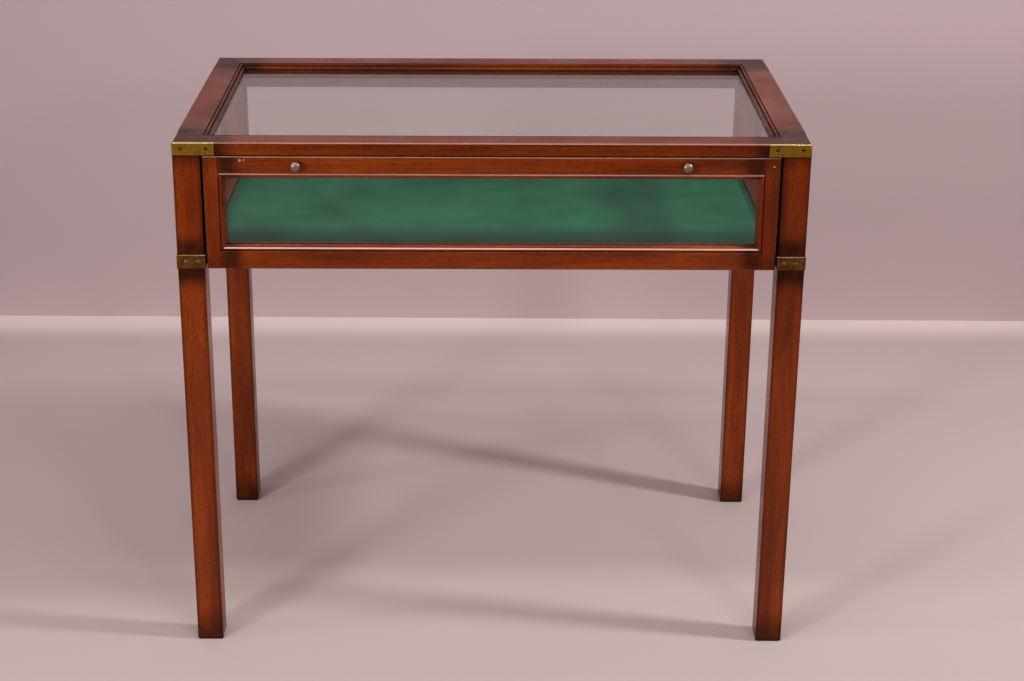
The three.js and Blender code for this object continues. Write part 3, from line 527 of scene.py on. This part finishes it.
def door_wood():
    """Rails and stiles of the drop front: dark rail ends, painted highlights on the beads and top edge,
    three chips.
    """
    stile_low, stile_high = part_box("door_stile_right")
    half_opening = stile_low[0]
    low, high = stile_low[2], stile_high[2]
    bead_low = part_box("door_rail_bottom")[1][2] - 5.0 * MM
    bead_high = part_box("door_rail_top")[0][2] + 5.6 * MM
    # painted highlights on the upper sides of the beads
    bead_highlights = [
        ("Z", bead_low + 0.8 * MM, bead_low + 4.0 * MM, 0.4 * MM, 0.9),
        ("Z", bead_high + 0.3 * MM, bead_high + 1.8 * MM, 0.3 * MM, 0.4),
    ]
    # painted highlight along the top edge
    edge_highlight = [("Z", high - 0.8 * MM, high, 0.3 * MM, 0.45)]
    rail_chips = [
        (-313.5 * MM, high - 5 * MM, 2.0 * MM),
        (-308.5 * MM, high - 4.5 * MM, 1.5 * MM),
    ]
    stile_chips = [(352 * MM, high - 11 * MM, 1.6 * MM)]
    door_long = mahogany(
        "mahogany_door_long", "X",
        both_ends("X", -half_opening, half_opening, 8 * MM, 20 * MM, 0.8),
        bead_highlights + edge_highlight, rail_chips, tone=1.0, gloss=0.38,
    )
    door_short = mahogany(
        "mahogany_door_short", "Z",
        both_ends("Z", low, high, 6 * MM, 18 * MM, 0.4),
        edge_highlight, stile_chips, tone=1.08, gloss=0.3,
    )
    return door_long, door_short


def dress_wood():
    """Gives every wooden node its mahogany, with the grain along the node's length."""
    leg = leg_wood()
    top_long, top_short = top_wood()
    door_long, door_short = door_wood()
    case_long = mahogany("mahogany_case_long", "X")
    case_short = mahogany("mahogany_case_short", "Y")

    for corner in CORNERS:
        dress("leg_" + corner, leg)
    for side in SIDES:
        dress("top_rail_" + side, top_short)
        dress("side_lower_rail_" + side, case_short)
        dress("side_upper_rail_" + side, case_short)
        dress("door_stile_" + side, door_short)
    for node in ("top_rail_front", "top_rail_back"):
        dress(node, top_long)
    for node in ("door_rail_top", "door_rail_bottom"):
        dress(node, door_long)
    for node in ("back_lower_rail", "back_upper_rail", "front_base_rail", "back_glazing_bead",
                 "top_glazing_bead", "door_glazing_bead"):
        dress(node, case_long)
    dress("floor_panel", floor_board())


def dress_glass():
    """The pane of the drop front carries more dust than the others."""
    clear = glass("clear_glass", 0.008)
    door = glass("door_glass_film", 0.019)
    for node in GLASS_NODES:
        dress(node, door if node == "door_glass" else clear, bevel=0)


def dress_metal():
    """Brass plates, catches and hinge leaves, steel pins, screws, springs and balls."""
    # the top edges of the brackets and straps carry painted highlights
    bracket = brass(
        "bracket_brass", srgb(234, 178, 74), srgb(186, 134, 45), srgb(112, 77, 25),
        polished=0.26, tarnished=0.42,
        top=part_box("corner_bracket_front_left")[1][2], painted_highlight=srgb(255, 232, 160),
    )
    strap = brass(
        "strap_brass", srgb(158, 104, 50), srgb(104, 67, 30), srgb(58, 37, 16),
        polished=0.34, tarnished=0.52,
        top=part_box("leg_strap_front_left")[1][2], painted_highlight=srgb(196, 160, 118),
    )
    inner = brass(
        "inner_brass", srgb(214, 172, 92), srgb(176, 134, 60), srgb(110, 82, 36),
        polished=0.26, tarnished=0.4,
    )
    plain_steel = steel()
    for corner in CORNERS:
        dress("corner_bracket_" + corner, bracket, 0.3 * MM)
        dress("leg_strap_" + corner, strap, 0.2 * MM)
    for side in SIDES:
        for node in ("hinge_fixed_leaf_", "hinge_moving_leaf_", "catch_barrel_", "catch_strike_"):
            dress(node + side, inner, 0.15 * MM)
        for node in ("hinge_pin_", "knob_screw_", "catch_spring_", "catch_ball_"):
            dress(node + side, plain_steel, 0)


# ---------------------------------------------------------------- new pieces


def lathe(profile, segments):
    """A closed bmesh turned about Z from (radius, height) points that start and end on the axis."""
    bm = bmesh.new()
    rings = []
    for radius, height in profile:
        if radius < 1e-9:
            rings.append([bm.verts.new((0, 0, height))])
            continue
        turn = [2 * math.pi * k / segments for k in range(segments)]
        rings.append([bm.verts.new((radius * math.cos(a), radius * math.sin(a), height)) for a in turn])
    for lower, upper in zip(rings, rings[1:]):
        for k in range(segments):
            after = (k + 1) % segments
            if len(lower) == 1:
                bm.faces.new((lower[0], upper[k], upper[after]))
            elif len(upper) == 1:
                bm.faces.new((lower[k], lower[after], upper[0]))
            else:
                bm.faces.new((lower[k], lower[after], upper[after], upper[k]))
    for face in bm.faces:
        face.smooth = True
    return bm


def bezier(start, control, end, steps):
    """Points of a quadratic curve, without its first point."""
    points = []
    for k in range(1, steps + 1):
        t = k / steps
        points.append(tuple(
            (1 - t) ** 2 * a + 2 * t * (1 - t) * b + t ** 2 * c for a, b, c in zip(start, control, end)
        ))
    return points


def knob_profile(radius, length):
    """Rosette, waisted neck and domed head, from the bore out to the tip."""
    bore = 0.27 * radius
    deep = 0.58 * length
    points = [(0, deep), (bore, deep), (bore, 0), (0.73 * radius, 0), (0.77 * radius, 0.05 * length)]
    waist = (0.45 * radius, 0.28 * length)
    points += bezier(points[-1], (0.43 * radius, 0.10 * length), waist, 8)
    shoulder = (0.88 * radius, 0.44 * length)
    points += bezier(waist, (0.48 * radius, 0.41 * length), shoulder, 8)
    rim = (radius, 0.6 * length)
    points += bezier(shoulder, (radius, 0.49 * length), rim, 6)
    points += bezier(rim, (0.96 * radius, 0.97 * length), (0, length), 14)
    return points


def knob_bronze():
    """Dark bronze with a painted sheen: paler where the head faces the viewer."""
    m = NodeMaterial("knob_bronze")
    cloud = m.noise(m.place((260, 260, 260)), detail=4)
    # painted sheen: paler where the surface faces the camera
    facing_sheen = m.add("LayerWeight", {"Blend": 0.35}, output="Facing")
    base = m.ramp(cloud, [(0.3, srgb(92, 66, 58)), (0.65, srgb(146, 114, 102))])
    base = m.mix(m.span(facing_sheen, 0.0, 0.5, 0.35, 0.0), base, srgb(188, 158, 146))
    return m.surface(
        Base_Color=base,
        Metallic=0.9,
        Roughness=m.span(cloud, 0.3, 0.7, 0.46, 0.32),
        Normal=m.bump(cloud, 0.02 * MM, 0.3),
    )


def make_knobs():
    """Turned knobs that stand out of the drop front where the plain CAD knobs are."""
    material = knob_bronze()
    for side in SIDES:
        low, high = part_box("knob_" + side)
        radius = (high.x - low.x) / 2
        length = high.y - low.y
        centre = Vector(((low.x + high.x) / 2, high.y, (low.z + high.z) / 2))
        face_forward = Matrix.Translation(centre) @ Matrix.Rotation(math.pi / 2, 4, "X")
        bm = lathe(knob_profile(radius, length), 48)
        bmesh.ops.transform(bm, matrix=face_forward, verts=bm.verts)
        knob = mesh_object("turned_knob_" + side, bm, material, "drop_front")
        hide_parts("knob_" + side)


def screw_blank(name, radius, dome, thickness):
    """An uncut screw head whose face looks along +Z from z = 0."""
    steps = 6
    profile = [(0, -thickness), (radius * 0.72, -thickness), (radius, -0.12 * radius)]
    for k in range(steps):
        angle = 0.5 * math.pi * k / steps
        profile.append((radius * math.cos(angle) * 0.97, dome * math.sin(angle)))
    profile.append((0, dome))
    head = lathe(profile, 32)
    mesh = bpy.data.meshes.new(name)
    bmesh.ops.recalc_face_normals(head, faces=head.faces)
    head.to_mesh(mesh)
    head.free()
    return add_object(name + "_blank", mesh)


def slot_cutter(name, length, width, depth, top):
    """The bar that cuts a driver slot into a screw head."""
    block = bmesh.new()
    shape = Matrix.Translation((0, 0, top)) @ Matrix.Diagonal((width, length, 2 * depth, 1))
    bmesh.ops.create_cube(block, size=1.0, matrix=shape)
    mesh = bpy.data.meshes.new(name + "_slot")
    block.to_mesh(mesh)
    block.free()
    return add_object(name + "_slot", mesh)


def screw_mesh(name, radius, dome, thickness, slot_width, slot_depth, material):
    """A slotted screw head, flush or domed, as a finished mesh."""
    head = screw_blank(name, radius, dome, thickness)
    cutter = slot_cutter(name, 3 * radius, slot_width, slot_depth, dome)
    cut = head.modifiers.new("slot", "BOOLEAN")
    cut.object = cutter
    cut.operation = "DIFFERENCE"
    smooth = head.modifiers.new("smooth", "NODES")
    smooth.node_group = SMOOTH
    bpy.context.view_layer.update()
    graph = bpy.context.evaluated_depsgraph_get()
    made = bpy.data.meshes.new_from_object(head.evaluated_get(graph), depsgraph=graph)
    made.name = name
    made.materials.append(material)
    for obj in (head, cutter):
        bpy.data.objects.remove(obj)
    return made


def set_screw(name, mesh, place, outward, turn):
    """Puts a screw at a place with its face looking outward and its slot turned by an angle."""
    obj = add_object(name, mesh)
    aim = Vector(outward).to_track_quat("Z", "Y").to_matrix().to_4x4()
    obj.matrix_world = Matrix.Translation(place) @ aim @ Matrix.Rotation(turn, 4, "Z")
    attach(obj, "case")


def make_screws():
    """Two screws in each outer face of every corner bracket and leg strap."""
    dice = random.Random(11)
    old_brass = brass(
        "screw_brass", srgb(142, 106, 44), srgb(100, 70, 26), srgb(54, 38, 15),
        polished=0.32, tarnished=0.5,
    )
    pale_brass = brass(
        "screw_pale", srgb(176, 152, 124), srgb(128, 104, 80), srgb(72, 54, 38),
        polished=0.36, tarnished=0.5,
    )
    flush = screw_mesh(
        "bracket_screw", radius=2.2 * MM, dome=0.15 * MM, thickness=1.2 * MM,
        slot_width=0.7 * MM, slot_depth=0.7 * MM, material=old_brass,
    )
    domed = screw_mesh(
        "strap_screw", radius=2.6 * MM, dome=0.7 * MM, thickness=0.9 * MM,
        slot_width=0.6 * MM, slot_depth=0.6 * MM, material=pale_brass,
    )
    # plate, screw, distances from the table's corner, height over the plate's face, finish
    kinds = (
        ("corner_bracket_", flush, (11 * MM, 43 * MM), -0.35 * MM, "brass"),
        ("leg_strap_", domed, (12 * MM, 27.5 * MM), 0.0, "aged_brass"),
    )
    for prefix, mesh, distances, lift, slot in kinds:
        for corner in CORNERS:
            low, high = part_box(prefix + corner)
            sx = -1 if corner.endswith("left") else 1
            sy = -1 if corner.startswith("front") else 1
            edge_x = low.x if sx < 0 else high.x
            edge_y = low.y if sy < 0 else high.y
            z = (low.z + high.z) / 2
            for number, distance in enumerate(distances, start=1):
                faces = (
                    ("face", Vector((edge_x - sx * distance, edge_y + sy * lift, z)), (0, sy, 0)),
                    ("side", Vector((edge_x + sx * lift, edge_y - sy * distance, z)), (sx, 0, 0)),
                )
                for label, place, outward in faces:
                    name = f"{mesh.name}_{corner}_{label}_{number}"
                    set_screw(name, mesh, place, outward, dice.uniform(0, math.pi))


def rolled_places(start, end, roll, count):
    """Even places from start to end, with extra ones close to both ends for the rolled edge."""
    steps = (0.0, 0.12, 0.35, 0.65)
    inner = [start + roll + (end - start - 2 * roll) * k / count for k in range(count + 1)]
    first = [start + roll * step for step in steps]
    last = [end - roll * step for step in reversed(steps)]
    return first + inner + last


def make_lining():
    """The baize as a thin cloth laid on its board: edges turned down and a barely uneven surface."""
    low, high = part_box("baize_lining")
    columns, rows = 144, 84
    roll = 1.6 * MM
    ripple_height = 0.3 * MM
    top = high.z - 0.35 * MM
    dice = random.Random(5)
    waves = [(dice.uniform(8, 30), dice.uniform(8, 30), dice.uniform(0, 6.28)) for _ in range(7)]

    def height(x, y):
        ripple = sum(math.sin(a * x + b * y + c) for a, b, c in waves) / len(waves)
        inward = min(x - low.x, high.x - x, y - low.y, high.y - y)
        share = max(0.0, 1 - inward / roll)
        return top + ripple_height * ripple - roll * (1 - math.sqrt(max(0.0, 1 - share * share)))

    bm = bmesh.new()
    xs = rolled_places(low.x, high.x, roll, columns)
    ys = rolled_places(low.y, high.y, roll, rows)
    grid = [[bm.verts.new((x, y, height(x, y))) for x in xs] for y in ys]
    for near, far in zip(grid, grid[1:]):
        for i in range(len(xs) - 1):
            bm.faces.new((near[i], near[i + 1], far[i + 1], far[i]))
    right_side = [row[-1] for row in grid[1:]]
    left_side = [row[0] for row in grid[-2:0:-1]]
    rim = grid[0] + right_side + grid[-1][-2::-1] + left_side
    hem = [bm.verts.new((vert.co.x, vert.co.y, low.z)) for vert in rim]
    for i in range(len(rim)):
        bm.faces.new((rim[i - 1], rim[i], hem[i], hem[i - 1]))
    bm.faces.new(hem)
    for face in bm.faces:
        face.smooth = True
    lining = mesh_object("baize_cloth", bm, baize(), "case")
    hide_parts("baize_lining")


# ---------------------------------------------------------------- stage, lights and camera


def stage_plane(name, corners, material):
    """One flat sheet of the backdrop."""
    mesh = bpy.data.meshes.new(name)
    mesh.from_pydata(corners, [], [(0, 1, 2, 3)])
    mesh.materials.append(material)
    add_object(name, mesh)


def paper(name, colour, bands=()):
    """Matt paper with faint clouding, clear when seen from behind so that it never hides the object.
    A band (start, end, share at the start, share at the end, colour) tints it along Y."""
    m = NodeMaterial(name)
    cloud = m.noise(m.place((0.7, 0.7, 0.7)), detail=3)
    base = m.mix(m.span(cloud, 0.3, 0.7, 0.0, 0.06), colour, (0.3, 0.3, 0.3, 1))
    for start, end, share_start, share_end, tint in bands:
        base = m.mix(m.span(m.axis("Y"), start, end, share_start, share_end), base, tint)
    looks = {"Base Color": base, "Roughness": 0.85, "Specular IOR Level": 0.2}
    shown = m.add("BsdfPrincipled", looks)
    behind = m.add("NewGeometry", output="Backfacing")
    m.add_output(m.add("MixShader", {0: behind, 1: shown, 2: m.add("BsdfTransparent")}))
    return m.material


def make_stage():
    """A floor sheet with a painted band of light along the foot of the wall and darker towards the
    camera, and a wall a little askew.
    """
    wall_y = 1.039
    skew = 0.033
    half_width = 6.0
    depth = 6.0
    wall_height = 4.0
    left = (-half_width, wall_y + skew)
    right = (half_width, wall_y - skew)
    floor_bands = (
        # painted light: a paler band along the foot of the wall
        (0.90, 1.02, 0.0, 1.0, srgb(244, 224, 222)),
        (-2.2, -1.0, 0.85, 0.0, srgb(70, 62, 60)),
    )
    stage_plane(
        "stage_floor",
        [(-half_width, -depth, 0), (half_width, -depth, 0), (*right, 0), (*left, 0)],
        paper("stage_floor", srgb(206, 186, 184), floor_bands),
    )
    stage_plane(
        "stage_wall",
        [(*left, 0), (*right, 0), (*right, wall_height), (*left, wall_height)],
        paper("stage_wall", srgb(196, 172, 174)),
    )


def lamp(name, place, target, size, watts, spread=180):
    """A round soft lamp aimed at a target. A spread below 180 degrees narrows its beam."""
    data = bpy.data.lights.new(name, "AREA")
    data.shape = "DISK"
    data.size = size
    data.energy = watts
    data.spread = math.radians(spread)
    obj = bpy.data.objects.new(name, data)
    bpy.context.scene.collection.objects.link(obj)
    obj.location = place
    obj.rotation_mode = "QUATERNION"
    obj.rotation_quaternion = (Vector(target) - Vector(place)).to_track_quat("-Z", "Y")
    return data


def make_lights():
    """Lamps for the crossing leg shadows, a long overhead strip for the highlights, and weak fill."""
    world = bpy.data.worlds.new("studio")
    bpy.context.scene.world = world
    world.use_nodes = True
    background = world.node_tree.nodes["Background"]
    background.inputs["Color"].default_value = (1.0, 1.0, 1.0, 1)
    background.inputs["Strength"].default_value = 0.30
    lamp("lamp_right", (2.2, -0.55, 2.06), (-0.1, 0, 0.2), size=0.3, watts=18, spread=130)
    lamp("lamp_left", (-2.6, -0.75, 2.2), (0, 0, 0.4), size=0.35, watts=6)
    lamp("lamp_far_right", (2.15, -5.0, 2.3), (0, 0, 0.4), size=0.7, watts=26)
    lamp("lamp_low_left", (-1.85, -2.30, 1.34), (0.9, 1.0, 0.75), size=0.6, watts=9.5, spread=95)
    strip = lamp("overhead_strip", (-0.25, -1.0, 2.6), (-0.1, 0, 0.5), size=2.2, watts=18)
    strip.shape = "RECTANGLE"
    strip.size_y = 0.12


def make_camera():
    """The viewpoint of a seated viewer in front of the table, looking a little down on it, with a
    lens shifted mostly sideways."""
    pitch, yaw, roll = 0.36652, -0.00314, 0.00249  # radians
    place = (-0.00714, -2.59696, 1.34437)  # metres
    data = bpy.data.cameras.new("camera")
    data.sensor_width = 36
    data.lens = 69.23
    data.shift_x = 0.03186
    data.shift_y = 0.00187
    data.clip_start = 0.05
    data.clip_end = 50
    forward = Vector((
        math.sin(yaw) * math.cos(pitch),
        math.cos(yaw) * math.cos(pitch),
        -math.sin(pitch),
    ))
    level = Vector((math.cos(yaw), -math.sin(yaw), 0))
    upright = level.cross(forward)
    right = level * math.cos(roll) + upright * math.sin(roll)
    up = upright * math.cos(roll) - level * math.sin(roll)
    rotation = Matrix((right, up, -forward)).transposed()
    camera = bpy.data.objects.new("camera", data)
    bpy.context.scene.collection.objects.link(camera)
    camera.matrix_world = Matrix.Translation(place) @ rotation.to_4x4()
    bpy.context.scene.camera = camera


def set_up_render_looks():
    """Plain colour view, and limits that keep glass and bright metal free of noise."""
    scene = bpy.context.scene
    scene.view_settings.view_transform = "Standard"
    scene.cycles.use_denoising = True
    scene.cycles.caustics_reflective = False
    scene.cycles.caustics_refractive = False
    scene.cycles.transparent_max_bounces = 16
    scene.cycles.sample_clamp_indirect = 4


dress_wood()
dress_glass()
dress_metal()
make_knobs()
make_screws()
make_lining()
make_stage()
make_lights()
make_camera()
set_up_render_looks()
